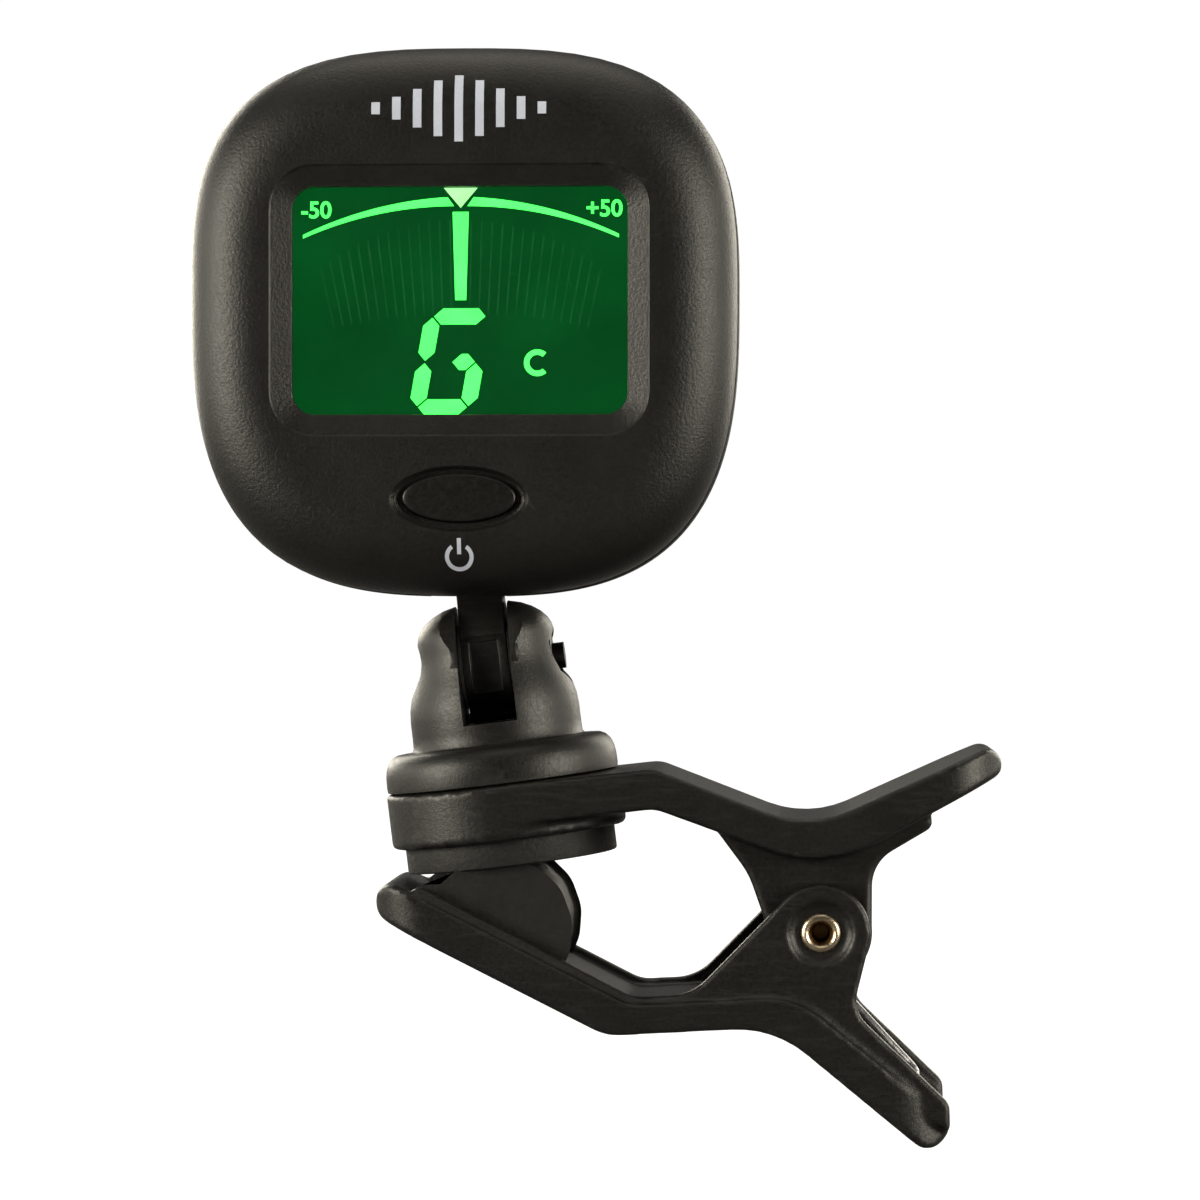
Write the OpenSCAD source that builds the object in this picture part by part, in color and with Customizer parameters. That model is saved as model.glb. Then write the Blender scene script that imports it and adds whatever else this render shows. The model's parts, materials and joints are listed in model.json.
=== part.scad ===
// Clip on tuner for a stringed instrument: a head with a lit display, on a
// sprung clip. The origin is the centre of the upper jaw pad's clamping face.
// X runs to the right of the display, Y to its back, Z up along the head.

/* [Head] */
// Width and height of the head
head_size = 41.5; // [40.5:0.5:46]
// Squareness of the head's outline
head_power = 2.95; // [2.8:0.05:4]
// Height of the head's widest line above its centre
head_wide = 2.45; // [0:0.05:3]
// Depth from the seam to the display face
front_depth = 8; // [7.5:0.1:9]
// Depth from the seam to the back face
rear_depth = 7; // [6.8:0.1:8]
// Wall of both shells
shell_wall = 1.5; // [1.2:0.1:1.8]
// Height of the roll pivot above the head's lower edge
roll_height = 7.44; // [7:0.02:8]

/* [Display] */
// Width of the clear window
window_w = 25.1; // [24:0.1:26]
// Height of the clear window
window_h = 17; // [16:0.1:18]
// Corner radius of the clear window
window_r = 1.7; // [1:0.1:2.5]
// Width of the sloping frame around the window
bevel_w = 1.65; // [1:0.05:2]

/* [Power button] */
// Width of the button's cap
button_w = 8.5; // [7:0.1:9]
// Height of the button's cap
button_h = 3.6; // [3:0.1:4]
// Travel of the button
button_travel = 0.4; // [0.2:0.05:0.5]

/* [Battery] */
// Diameter of the coin cell
cell_d = 20; // [20:0.1:20]
// Thickness of the coin cell
cell_t = 3.2; // [3.2:0.1:3.2]
// Diameter of the battery cap
cap_d = 23.8; // [23:0.1:25]

/* [Clip] */
// Lean of the clip against the head
clip_lean = 7; // [0:0.5:10]
// Width of both arms
arm_w = 18; // [16:0.5:20]
// Diameter of the upper jaw pad
pad_d = 16.1; // [14:0.1:17]
// Thickness of the upper jaw pad
pad_t = 1.95; // [1.5:0.05:2.5]
// Diameter of the pivot rivet
rivet_d = 2.2; // [2:0.1:2.4]
// Diameter of the spring wire
wire_d = 0.9; // [0.7:0.05:1]
// Turns of the spring's coil
spring_turns = 4; // [3:1:5]

/* [Yoke and neck] */
// Diameter of the yoke's base
yoke_d = 17.8; // [16:0.1:18]
// Width of the slot between the yoke's ears
slot_w = 4.1; // [3.8:0.1:4.5]
// Width of the neck
neck_w = 3.5; // [3.2:0.1:3.7]
// Thickness of the neck inside the head
neck_t = 3; // [2.6:0.1:3.2]

/* [Hidden] */
$fn = 96;
e = 0.01;
half = head_size / 2;
head_foot = 20.25;
pivot = [22.75, -7.7];
seat_top = 6.14;
tilt_v = 15.2;
roll_v = (head_foot + roll_height) / cos(clip_lean);
head_x = -roll_v * sin(clip_lean);
head_z = roll_v * cos(clip_lean) + half - roll_height;
roll_z = roll_height - half;
seam = -2;
front = seam - front_depth;
back = seam + rear_depth;
dome_flat = 19.2;
dome_r = 5;
display_z = 1.33;
button_z = -13.4;
lens_front = -8.65;
lens_t = 0.8;
lcd_front = lens_front + lens_t + 0.05;
lcd_t = 1.9;
board_front = -4.45;
board_t = 1;
board_back = board_front + board_t;
cell_z = 2.6;
cell_front = -1.3;
cell_back = cell_front + cell_t;
screw_at = 14.2;
ear_out = 8.4;
ear_in = 7.2;
up_ear_out = 7.1;
up_ear_in = 5.6;
ear_d = 7.4;
up_ear_d = 7.7;
rivet_recess_d = 4.7;
rivet_recess_y = 7.9;
flange_d = 2.85;
flange_y = 7.92;
rivet_end = 8.17;
rivet_bore_d = 1.45;
rivet_bore_end = -5;
coil_r = 2.4;
coil_pitch = wire_d * 1.06;
leg_foot = 3.2;
swivel_screw_d = 2.5;
tilt_screw_d = 2;
roll_screw_d = 1.7;
housing_screw_d = 1.7;
screw_play = 0.1;
seat_bore_d = 5;
slot_floor = 10.8;
yoke_top_d = 9.7;
tilt_head_u = 3.4;
tilt_head_d = 3.8;
nut_flats = 4;
nut_t = 1.6;
neck_knuckle_d = 7.8;
neck_eye_d = 6.6;
roll_boss_d = 4;
button_flange = 0.7;
well_rim = 0.85;
lens_rim = 0.8;
plunger_d = 2;
plunger_back = -6.1;
switch_w = 4.5;
cell_seat_d = 21;
plug_d = 20.8;
lug_d = 22.6;
cap_front = 3.65;
coin_slot_w = 14;
coin_slot_h = 1.7;
sensor_at = [-7.9, -13.8];

// ---- Outlines ----

function xy(p) = [p[0], p[1]];
function unit(v) = v / norm(v);

// Points of one rounded corner at b, between a and c
function corner(a, b, c, r) =
  let (u = unit(a - b), w = unit(c - b))
  let (h = acos(max(-1, min(1, u * w))) / 2)
  let (m = b + unit(u + w) * r / sin(h))
  let (p = b + u * r / tan(h) - m, q = b + w * r / tan(h) - m)
  let (s = atan2(p[1], p[0]), d = (atan2(q[1], q[0]) - s + 540) % 360 - 180)
  let (n = max(2, ceil(abs(d) / 8)))
  [for (i = [0:n]) m + r * [cos(s + d * i / n), sin(s + d * i / n)]];

// Closed outline through points [x, y, corner radius]
function rounded(p) = [
  for (i = [0:len(p) - 1])
  let (a = xy(p[(i + len(p) - 1) % len(p)]), b = xy(p[i]), c = xy(p[(i + 1) % len(p)]))
  each (p[i][2] > 0 ? corner(a, b, c, p[i][2]) : [b])
];

// Outline of the head: a squared circle that is widest above its centre
function head_outline(a) = [
  for (i = [0:79])
  let (t = i * 4.5, h = t < 180 ? a - head_wide : a + head_wide)
  [0, head_wide] + [a * cos(t), h * sin(t)]
    / pow(pow(abs(cos(t)), head_power) + pow(abs(sin(t)), head_power), 1 / head_power)
];

function ellipse(w, h) = [for (i = [0:59]) [w / 2 * cos(i * 6), h / 2 * sin(i * 6)]];

// ---- Placing ----

// Frame of the clip: leaning, with its axis along Z
module at_clip() {
  rotate([0, -clip_lean, 0]) children();
}

// Frame of the head: its centre in X and Z
module at_head() {
  translate([head_x, 0, head_z]) children();
}

// A shape drawn in X and Z, running from y0 to y1
module along_y(y0, y1) {
  translate([0, y1, 0]) rotate([90, 0, 0]) linear_extrude(y1 - y0) children();
}

// A cylinder along Y
module rod_y(x, z, d, y0, y1) {
  translate([x, y1, z]) rotate([90, 0, 0]) cylinder(d = d, h = y1 - y0);
}

// A cylinder along X
module rod_x(y, z, d, x0, x1) {
  translate([x0, y, z]) rotate([0, 90, 0]) cylinder(d = d, h = x1 - x0);
}

// A box between two corners
module box(x0, x1, y0, y1, z0, z1) {
  translate([x0, y0, z0]) cube([x1 - x0, y1 - y0, z1 - z0]);
}

// A rounded rectangle in X and Z from y0 to y1
module rounded_plate(w, h, r, y0, y1) {
  box(-w / 2 + r, w / 2 - r, y0, y1, -h / 2, h / 2);
  box(-w / 2, w / 2, y0, y1, -h / 2 + r, h / 2 - r);
  for (x = [-w / 2 + r, w / 2 - r])
    for (z = [-h / 2 + r, h / 2 - r])
      rod_y(x, z, 2 * r, y0, y1);
}

// A slot with round ends
module slot(w, h, y0, y1) {
  box(-(w - h) / 2, (w - h) / 2, y0, y1, -h / 2, h / 2);
  for (s = [-1, 1])
    rod_y(s * (w - h) / 2, 0, h, y0, y1);
}

// Mirrored copies on both sides of the middle plane
module both_sides() {
  children();
  mirror([0, 1, 0]) children();
}

// ---- Clip ----

upper_profile = rounded([[0, 3.1, 0], [11.6, 3, 2.5], [23.62, -3.09, 10], [37.95, 2.55, 1],
  [37.4, 4.7, 1.1], [22.8, 0.18, 8], [11.9, 6, 2], [0, seat_top, 0]]);
upper_ear = rounded([[15, 2.4, 0], [17.9, -2.7, 6], [19, -7.7, 0], [26.6, -7.7, 0],
  [27.2, -3, 3], [32, -0.9, 0.4], [32, 1.4, 0], [23.3, -1.2, 6]]);
lower_profile = rounded([[-10.05, 0.78, 1.3], [8, -11.3, 3], [20.24, -12.1, 6],
  [31.2, -23.2, 1.3], [28.75, -25.05, 1.4], [18.41, -14.2, 8], [5.9, -13.35, 4],
  [-10.3, -2.5, 1.4]]);
lower_wall = rounded([[-7.9, -2.2, 0], [-6.9, -0.45, 0.5], [8.3, -10.75, 2.5],
  [12.6, -11.1, 4], [20.1, -5.1, 0], [26.2, -9, 0], [24.4, -13.7, 2.5], [30.7, -21.4, 0.5],
  [30.5, -23.6, 0], [19.2, -13.2, 4], [7, -12.2, 3]]);
pad_profile = [[-6.9, -1.1], [-5.2, -1.3], [-4.6, -1.25], [-3.9, -0.68], [-3.2, -0.2],
  [-2.6, 0], [0.2, 0], [1.6, -0.6], [2.7, -1.6], [3.45, -2.9], [3.8, -4.4], [3.75, -5.8],
  [3.4, -6.9], [2.9, -8.2]];

// Plan of an arm: full width, with a rounded tip at x1
module arm_plan(x0, x1, r) {
  translate([x0, -arm_w / 2]) square([x1 - x0 - r, arm_w]);
  translate([x0, -arm_w / 2 + r]) square([x1 - x0, arm_w - 2 * r]);
  for (s = [-1, 1])
    translate([x1 - r, s * (arm_w / 2 - r)]) circle(r);
}

module upper_arm_plate() {
  intersection() {
    along_y(-arm_w / 2, arm_w / 2) polygon(upper_profile);
    translate([0, 0, -10]) linear_extrude(30) arm_plan(-1, 37.95, 5);
  }
}

module upper_arm() {
  color([0.09, 0.088, 0.085])
  at_clip()
  difference() {
    union() {
      translate([0, 0, pad_t]) cylinder(d = arm_w, h = seat_top - pad_t);
      upper_arm_plate();
      both_sides() along_y(-up_ear_out, -up_ear_in) polygon(upper_ear);
      both_sides() rod_y(pivot[0], pivot[1], up_ear_d, -up_ear_out, -up_ear_in);
    }
    translate([0, 0, 5.1]) cylinder(d = seat_bore_d + screw_play, h = 3);
    translate([0, 0, 1]) cylinder(d = swivel_screw_d + screw_play, h = 8);
    translate([0, 0, 1]) cylinder(d = 6.6, h = 2.9);
    rod_y(pivot[0], pivot[1], rivet_d, -20, 20);
  }
}

module upper_pad() {
  color([0.16, 0.155, 0.15])
  at_clip() cylinder(d = pad_d, h = pad_t);
}

// Semi-tubular rivet: rolled over at both ends, with a blind bore at the front
module pivot_rivet() {
  color([0.78, 0.6, 0.33])
  at_clip()
  difference() {
    union() {
      rod_y(pivot[0], pivot[1], rivet_d, -rivet_end, rivet_end);
      both_sides() rod_y(pivot[0], pivot[1], flange_d, -rivet_end, -flange_y);
    }
    rod_y(pivot[0], pivot[1], rivet_bore_d, -rivet_end - 1, rivet_bore_end);
  }
}

module lower_arm_plan() {
  intersection() {
    translate([31.2, 0]) rotate(180) arm_plan(0, 41.6, 4);
    translate([-12, 0]) arm_plan(0, 43.3, 5);
  }
}

module lower_arm() {
  color([0.09, 0.088, 0.085])
  at_clip()
  difference() {
    union() {
      intersection() {
        along_y(-arm_w / 2, arm_w / 2) polygon(lower_profile);
        translate([0, 0, -30]) linear_extrude(40) lower_arm_plan();
      }
      both_sides() along_y(-ear_out, -ear_in) polygon(lower_wall);
      both_sides() rod_y(pivot[0], pivot[1], ear_d, -ear_out, -ear_in);
    }
    rod_y(pivot[0], pivot[1], rivet_d + 0.1, -20, 20);
    both_sides() rod_y(pivot[0], pivot[1], rivet_recess_d, -20, -rivet_recess_y);
  }
}

module lower_pad() {
  color([0.14, 0.135, 0.13])
  at_clip()
  difference() {
    along_y(-7.15, 7.15)
      polygon(concat(pad_profile, [[2.9, -9.6], [-6.9, -3]]));
    along_y(-10, 10) polygon(lower_profile);
  }
}

// A bent piece of the spring's wire, from angle a0 to a1 while Y runs from y0 to y1
module wire_arc(a0, a1, y0, y1) {
  m = (a0 + a1) / 2;
  h = (a1 - a0) / 2;
  rise = asin((y1 - y0) / 2 / (coil_r * sin(h)));
  translate([pivot[0], (y0 + y1) / 2, pivot[1]])
    rotate([0, -m, 0]) rotate([rise, 0, 0]) rotate([90, 0, 0]) rotate([0, 0, -h])
    rotate_extrude(angle = 2 * h) translate([coil_r, 0]) circle(d = wire_d, $fn = 32);
}

// A straight piece of wire from p to q, drawn in X and Z at one Y
module wire_leg(p, q, y) {
  translate([p[0], y, p[1]]) rotate([0, 90 - atan2(q[1] - p[1], q[0] - p[0]), 0])
    cylinder(d = wire_d, h = norm(q - p), $fn = 32);
}

module wire_ball(p, y) {
  translate([p[0], y, p[1]]) sphere(d = wire_d, $fn = 32);
}

function on_coil(a) = pivot + coil_r * [cos(a), sin(a)];

// Angle at which a line from p touches the coil, on the side given by s
function touch(p, s) =
  atan2(p[1] - pivot[1], p[0] - pivot[0]) + s * acos(coil_r / norm(p - pivot));

upper_leg = [31.3, -0.6];
lower_leg = [28.45, -19.7];
leg_a = touch(upper_leg, 1);
leg_b = touch(lower_leg, -1) + 360;
coil_y0 = -coil_pitch * (spring_turns + (leg_b - leg_a) / 360) / 2;

module torsion_spring() {
  color([0.75, 0.76, 0.78])
  at_clip() {
    for (i = [0:2 * spring_turns - 1]) {
      wire_arc(leg_a + 180 * i, leg_a + 180 * (i + 1), coil_y0 + coil_pitch * i / 2,
        coil_y0 + coil_pitch * (i + 1) / 2);
      wire_ball(on_coil(leg_a + 180 * i), coil_y0 + coil_pitch * i / 2);
    }
    wire_arc(leg_a + 360 * spring_turns, leg_b + 360 * spring_turns,
      coil_y0 + coil_pitch * spring_turns, -coil_y0);
    wire_ball(on_coil(leg_a), coil_y0 + coil_pitch * spring_turns);
    wire_ball(on_coil(leg_b), -coil_y0);
    wire_leg(on_coil(leg_a), upper_leg, coil_y0);
    wire_leg(on_coil(leg_b), lower_leg, -coil_y0);
    wire_ball(upper_leg, coil_y0);
    wire_ball(lower_leg, -coil_y0);
    rod_y(upper_leg[0], upper_leg[1], wire_d, coil_y0, coil_y0 + leg_foot);
    rod_y(lower_leg[0], lower_leg[1], wire_d, -coil_y0 - leg_foot, -coil_y0);
  }
}

// ---- Yoke and neck ----

yoke_profile = [[0, 6.16], [yoke_d / 2, 6.16], [yoke_d / 2 - 0.05, 7.6],
  [yoke_d / 2 - 0.25, 8.4], [yoke_d / 2 - 0.7, 8.95], [yoke_d / 2 - 1.3, 9.1], [6.5, 9.1],
  [6.5, 11.9], [6.2, 13.2], [5.8, 14.3], [5.45, 15.2], [5.2, 16.5], [5.2, 17.6],
  [5, 18.1], [4.7, 18.45], [3.8, 19.2], [2.8, 19.7], [1.8, 19.95], [0, 20]];

module yoke() {
  color([0.1, 0.098, 0.095])
  at_clip()
  difference() {
    union() {
      intersection() {
        rotate_extrude() polygon(yoke_profile);
        union() {
          box(-12, 12, -12, 12, 0, tilt_v);
          rod_x(0, tilt_v, yoke_top_d, -12, 12);
        }
      }
      translate([0, 0, 5.2]) cylinder(d = seat_bore_d, h = 1.2);
    }
    box(-slot_w / 2, slot_w / 2, -12, 12, slot_floor + 0.4, 30);
    both_sides() box(-slot_w / 2, slot_w / 2, -12, -1.2, slot_floor, 30);
    rod_x(0, tilt_v, tilt_screw_d, -12, 12);
    rod_x(0, tilt_v, tilt_head_d + 0.3, -12, -tilt_head_u);
    translate([tilt_head_u, 0, tilt_v]) rotate([0, 90, 0]) rotate([0, 0, 30])
      cylinder(d = (nut_flats + screw_play) / cos(30), h = 12, $fn = 6);
    translate([0, 0, 5]) cylinder(d = swivel_screw_d, h = slot_floor - 6);
  }
}

module swivel_screw() {
  color([0.6, 0.61, 0.63])
  at_clip()
  difference() {
    union() {
      translate([0, 0, 2.2]) cylinder(d = 4.5, h = 1.3);
      translate([0, 0, 3]) cylinder(d = swivel_screw_d, h = 6.6);
    }
    for (a = [0, 90])
      rotate([0, 0, a]) box(-1.2, 1.2, -0.25, 0.25, 2, 2.8);
  }
}

module swivel_washer() {
  color([0.7, 0.71, 0.73])
  at_clip()
  difference() {
    translate([0, 0, 3.52]) cylinder(d = 6, h = 0.34);
    translate([0, 0, 3]) cylinder(d = swivel_screw_d + screw_play, h = 2);
  }
}

module tilt_screw() {
  color([0.55, 0.56, 0.58])
  at_clip()
  difference() {
    union() {
      rod_x(0, tilt_v, tilt_head_d, -tilt_head_u - 1.3, -tilt_head_u);
      rod_x(0, tilt_v, tilt_screw_d, -4, 5.88);
    }
    for (a = [0, 90])
      translate([0, 0, tilt_v]) rotate([a, 0, 0]) box(-5, -4.1, -0.25, 0.25, -1.1, 1.1);
  }
}

module tilt_nut() {
  color([0.62, 0.63, 0.65])
  at_clip()
  difference() {
    translate([tilt_head_u, 0, tilt_v]) rotate([0, 90, 0]) rotate([0, 0, 30])
      cylinder(d = nut_flats / cos(30), h = nut_t, $fn = 6);
    rod_x(0, tilt_v, tilt_screw_d, 3, 6);
  }
}

module friction_washers() {
  color([0.85, 0.84, 0.8])
  at_clip()
  for (s = [-1, 1])
    difference() {
      rod_x(0, tilt_v, 6.4, min(s * 1.77, s * 2.03), max(s * 1.77, s * 2.03));
      rod_x(0, tilt_v, tilt_screw_d + screw_play, -3, 3);
    }
}

neck_side = rounded([[-1.5, 20.2, 2], [-3.2, 17.6, 2], [-3.6, 14.5, 0], [3.6, 14.5, 0],
  [3.2, 17.6, 2], [1.5, 20.2, 2], [1.5, roll_v, 0], [-1.5, roll_v, 0]]);

module neck() {
  color([0.085, 0.083, 0.08])
  at_clip()
  difference() {
    union() {
      rod_x(0, tilt_v, neck_knuckle_d, -neck_w / 2, neck_w / 2);
      translate([-neck_w / 2, 0, 0]) rotate([90, 0, 90]) linear_extrude(neck_w)
        polygon(neck_side);
      rod_y(0, roll_v, neck_eye_d, -neck_t / 2, neck_t / 2);
    }
    rod_x(0, tilt_v, tilt_screw_d + screw_play, -5, 5);
    rod_y(0, roll_v, roll_boss_d + screw_play, -5, 5);
    box(-1.1, 1.1, -5, -3.3, 12.9, 17);
  }
}

module roll_screw() {
  color([0.6, 0.61, 0.63])
  at_head()
  difference() {
    union() {
      rod_y(0, roll_z, 3.2, -2.95, -1.95);
      rod_y(0, roll_z, roll_screw_d, -2, 2.3);
    }
    for (a = [45, 135])
      translate([0, 0, roll_z]) rotate([0, a, 0]) box(-1, 1, -3.5, -2.5, -0.22, 0.22);
  }
}

module roll_washer() {
  color([0.72, 0.73, 0.75])
  at_head()
  difference() {
    rod_y(0, roll_z, 5.8, -1.93, -1.62);
    rod_y(0, roll_z, roll_screw_d + screw_play, -3, 0);
  }
}

// ---- Shells of the head ----

// A rounded body in the head's outline: base at the seam, top at height h in front of it
module pillow(a, h, edge, dome) {
  intersection() {
    along_y(-h, 0) polygon(head_outline(a));
    rotate([90, 0, 0]) rotate_extrude() pillow_section(h, dome);
    pillow_bar(a, h, edge);
    rotate([0, 90, 0]) pillow_bar(a, h, edge);
  }
}

module pillow_section(h, dome) {
  square([dome_flat + e, h]);
  intersection() {
    translate([dome_flat, h - dome]) circle(dome);
    translate([dome_flat, 0]) square([20, h]);
  }
}

module pillow_bar(a, h, edge) {
  translate([0, 0, -30]) linear_extrude(60) {
    translate([-a + edge, -h]) square([2 * a - 2 * edge, h]);
    translate([-a, -h + edge]) square([2 * a, h - edge]);
    for (s = [-1, 1])
      translate([s * (a - edge), -h + edge]) circle(edge);
  }
}

// Sloping frame of the display recess: a box that narrows towards the window
module bevel_pocket() {
  d = 1.5;
  g = bevel_w * d / 1.2;
  w = window_w / 2;
  h = window_h / 2;
  translate([0, lens_front, display_z])
  intersection() {
    translate([0, 0, -20]) linear_extrude(40)
      polygon([[-w, 0], [w, 0], [w + g, -d], [-w - g, -d]]);
    rotate([0, 90, 0]) translate([0, 0, -20]) linear_extrude(40)
      polygon([[-h, 0], [h, 0], [h + g, -d], [-h - g, -d]]);
  }
}

module screw_posts(d, y0, y1) {
  for (x = [-screw_at, screw_at])
    for (z = [-screw_at, screw_at])
      rod_y(x, z, d, y0, y1);
}

module front_shell() {
  color([0.11, 0.108, 0.105])
  at_head()
  difference() {
    union() {
      difference() {
        translate([0, seam, 0]) pillow(half, front_depth, 4.5, dome_r);
        translate([0, seam + e, 0])
          pillow(half - shell_wall, front_depth - shell_wall + e, 3, dome_r - shell_wall);
        along_y(seam - 0.85, seam + 1) polygon(head_outline(half - 0.75));
      }
      intersection() {
        screw_posts(4, -8.6, seam);
        translate([0, seam, 0]) pillow(half - 0.5, front_depth - 0.5, 4, dome_r - 0.5);
      }
    }
    bevel_pocket();
    translate([0, 0, display_z]) rounded_plate(window_w, window_h, window_r, -9, -6);
    translate([0, 0, display_z])
      rounded_plate(window_w + 2 * lens_rim + 0.1, window_h + 2 * lens_rim + 0.1,
        window_r + lens_rim, lens_front, -6);
    translate([0, 0, button_z])
      along_y(-12, -9.4) polygon(ellipse(button_w + 2 * well_rim, button_h + 1.5 * well_rim));
    translate([0, 0, button_z])
      along_y(-12, -6) polygon(ellipse(button_w + 0.16, button_h + 0.16));
    screw_posts(housing_screw_d, -5.2, 0);
  }
}

module rear_shell() {
  color([0.1, 0.098, 0.095])
  at_head()
  difference() {
    union() {
      difference() {
        translate([0, seam, 0]) mirror([0, 1, 0]) pillow(half, rear_depth, 3.5, dome_r);
        translate([0, seam - e, 0]) mirror([0, 1, 0])
          pillow(half - shell_wall, rear_depth - shell_wall + e, 2, dome_r - shell_wall);
      }
      difference() {
        along_y(seam - 0.8, seam + 0.2) polygon(head_outline(half - 0.8));
        along_y(seam - 1, seam + 1) polygon(head_outline(half - shell_wall));
        screw_posts(4.2, seam - 1, seam);
      }
      intersection() {
        screw_posts(4.4, seam, 4.6);
        translate([0, seam, 0]) mirror([0, 1, 0])
          pillow(half - 0.5, rear_depth - 0.5, 3, dome_r - 0.5);
      }
      rod_y(0, roll_z, 6.5, 1.55, back - 1);
      rod_y(0, roll_z, roll_boss_d, -1.6, back - 1);
      difference() {
        rod_y(0, cell_z, 24.6, -1.2, 4);
        rod_y(0, cell_z, 20.4, -2, 1.7);
        rod_y(0, cell_z, 23, 1.6, 2.6);
      }
    }
    rod_y(0, cell_z, cap_d + 0.1, cap_front - 0.05, 10);
    rod_y(0, cell_z, cell_seat_d, 2, 10);
    for (a = [60, 180, 300])
      translate([0, 0, cell_z]) rotate([0, a, 0]) box(0, 11.5, 2, 4, -3.4, 3.4);
    box(9.8, 12.6, -3, 1.75, cell_z - 1.7, cell_z + 1.7);
    rod_y(0, roll_z, roll_screw_d, -3, 2.4);
    screw_posts(housing_screw_d + 0.2, -5, 2.2);
    screw_posts(3.6, 2.1, 10);
    box(-3, 3, seam - 1, 1.75, -24, -17);
  }
}

module housing_screws() {
  color([0.5, 0.51, 0.53])
  at_head()
  difference() {
    union() {
      screw_posts(3.2, 2.1, 3.1);
      screw_posts(housing_screw_d, -5, 2.5);
    }
    for (x = [-screw_at, screw_at])
      for (z = [-screw_at, screw_at])
        for (a = [45, 135])
          translate([x, 0, z]) rotate([0, a, 0]) box(-1, 1, 2.6, 4, -0.22, 0.22);
  }
}

// ---- Display ----

module display_lens() {
  color([0.75, 0.85, 0.8, 0.35])
  at_head() translate([0, 0, display_z])
    rounded_plate(window_w + 2 * lens_rim, window_h + 2 * lens_rim, window_r + lens_rim,
      lens_front, lens_front + lens_t);
}

module lcd_panel() {
  color([0.05, 0.35, 0.16])
  at_head() translate([0, 0, display_z])
    box(-14, 14, lcd_front, lcd_front + lcd_t, -10.25, 10.25);
}

module backlight_guide() {
  color([0.5, 0.9, 0.6])
  at_head() translate([0, 0, display_z])
    box(-13, 13, lcd_front + lcd_t, board_front, -8.6, 8.6);
}

module backlight_leds() {
  color([0.9, 0.95, 0.7])
  at_head() translate([0, 0, display_z])
    for (s = [-1, 1])
      for (z = [-4, 4])
        box(min(s * 13.05, s * 13.85), max(s * 13.05, s * 13.85), board_front - 0.7,
          board_front, z - 0.8, z + 0.8);
}

module lcd_connectors() {
  color([0.7, 0.5, 0.55])
  at_head() translate([0, 0, display_z])
    for (s = [-1, 1])
      box(-12, 12, lcd_front + lcd_t, board_front, min(s * 8.75, s * 9.95),
        max(s * 8.75, s * 9.95));
}

// ---- Board ----

module circuit_board() {
  color([0.05, 0.3, 0.15])
  at_head()
  difference() {
    along_y(board_front, board_back) polygon(head_outline(half - shell_wall - 0.9));
    screw_posts(4.6, -6, -2);
  }
}

module controller_chip() {
  color([0.05, 0.05, 0.055])
  at_head() {
    box(5.2, 10.8, board_back + 0.1, board_back + 1.2, -12.4, -6.8);
    for (i = [-3:3]) {
      box(4.6, 11.4, board_back, board_back + 0.4, -9.6 + i * 0.7 - 0.15, -9.6 + i * 0.7 + 0.15);
      box(8 + i * 0.7 - 0.15, 8 + i * 0.7 + 0.15, board_back, board_back + 0.4, -13, -6.2);
    }
  }
}

module crystal() {
  color([0.8, 0.8, 0.82])
  at_head() box(-9.6, -6.4, board_back, board_back + 0.8, -8.75, -7.25);
}

module board_parts() {
  color([0.65, 0.55, 0.42])
  at_head()
  for (p = [[-12.5, -6.5], [-12.5, -4.5], [-5, -9], [-5, -7], [12.5, -4.5], [13.5, 8], [-13.5, 8]])
    box(p[0] - 0.8, p[0] + 0.8, board_back, board_back + 0.5, p[1] - 0.4, p[1] + 0.4);
}

module tact_switch() {
  color([0.12, 0.12, 0.13])
  at_head() translate([0, 0, button_z])
  difference() {
    box(-switch_w / 2, switch_w / 2, board_front - 2, board_front, -switch_w / 2, switch_w / 2);
    rod_y(0, 0, plunger_d + screw_play, -8, plunger_back + button_travel + 0.1);
  }
}

module switch_plunger() {
  color([0.75, 0.74, 0.7])
  at_head() rod_y(0, button_z, plunger_d, -7.2, plunger_back);
}

module power_button() {
  color([0.08, 0.08, 0.08])
  at_head() translate([0, 0, button_z]) {
    along_y(-9.95, -8) polygon(ellipse(button_w, button_h));
    along_y(-8.45, -7.2)
      polygon(ellipse(button_w + 2 * button_flange, button_h + 2 * button_flange));
  }
}

module sensor_plate() {
  color([0.8, 0.66, 0.35])
  at_head() rod_y(sensor_at[0], sensor_at[1], 7, board_back, board_back + 0.2);
}

module sensor_ceramic() {
  color([0.9, 0.88, 0.82])
  at_head() rod_y(sensor_at[0], sensor_at[1], 5, board_back + 0.2, board_back + 0.4);
}

// ---- Battery ----

module coin_cell() {
  color([0.78, 0.79, 0.8])
  at_head() {
    rod_y(0, cell_z, cell_d, cell_front + 0.3, cell_back);
    rod_y(0, cell_z, cell_d - 2.4, cell_front, cell_front + 0.4);
  }
}

module positive_contact() {
  color([0.83, 0.72, 0.42])
  at_head() {
    box(10.02, 10.32, board_back, 1.6, cell_z - 1.4, cell_z + 1.4);
    box(10.02, 12.4, board_back, board_back + 0.25, cell_z - 1.4, cell_z + 1.4);
  }
}

module negative_contact() {
  color([0.83, 0.72, 0.42])
  at_head() translate([0, 0, cell_z - 1.5]) linear_extrude(3)
    polygon([[-6, board_back], [6, board_back], [6, board_back + 0.25], [-3.5, board_back + 0.25],
      [2, cell_front - 0.25], [3.5, cell_front - 0.7], [3.6, cell_front - 0.45],
      [2.1, cell_front], [1.7, cell_front], [-4.2, board_back + 0.25], [-6, board_back + 0.25]]);
}

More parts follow.
